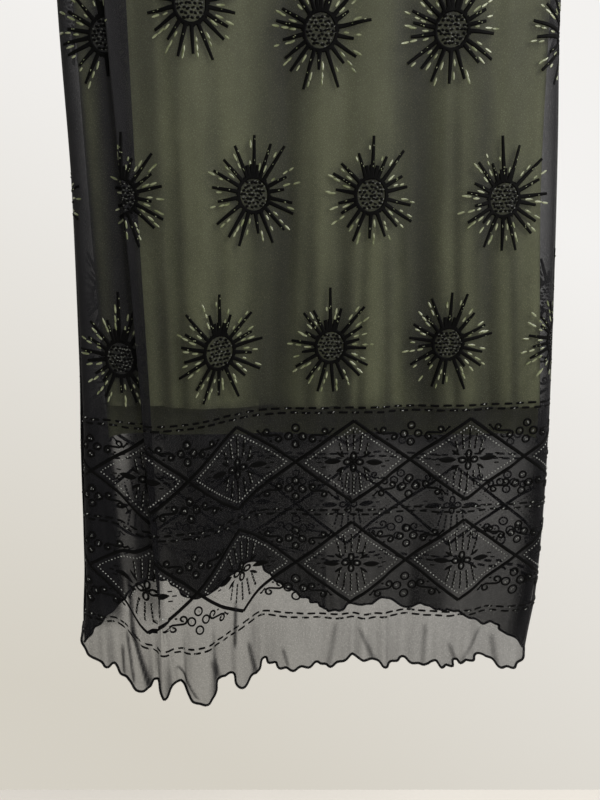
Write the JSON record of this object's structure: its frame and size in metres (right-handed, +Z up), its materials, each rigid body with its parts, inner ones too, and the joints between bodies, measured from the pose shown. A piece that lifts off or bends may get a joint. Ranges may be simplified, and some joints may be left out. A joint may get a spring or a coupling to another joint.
{
  "type": "maxi dress on a hanger",
  "caption": "Long sleeveless dress of sheer net over a shorter lining, with a bordered, rolled and wavy hem, hung nearly flat on a plain hanger.",
  "frame": {"origin": "inside crest of the hanger's hook, where a rail or peg holds it", "axes": "+Z up, the dress's front faces -Y, +X to the right as seen from the front"},
  "size_m": [0.5521, 0.0784, 1.5701],
  "materials": {
    "net": "sheer soft net",
    "lining": "smooth matt lining",
    "binding": "narrow bound edge",
    "print": "raised velvety print",
    "glint": "small glossy dashes",
    "thread": "overlocked thread edge",
    "hanger": "plain varnished wood",
    "hook": "bent steel wire"
  },
  "bodies": {
    "root": {"net_front": "net", "net_back": "net", "lining_front": "lining", "lining_back": "lining", "neck_binding": "binding", "armhole_binding_left": "binding", "armhole_binding_right": "binding", "hanger_arms": "hanger", "hanger_hook": "hook"}
  },
  "joints": []
}
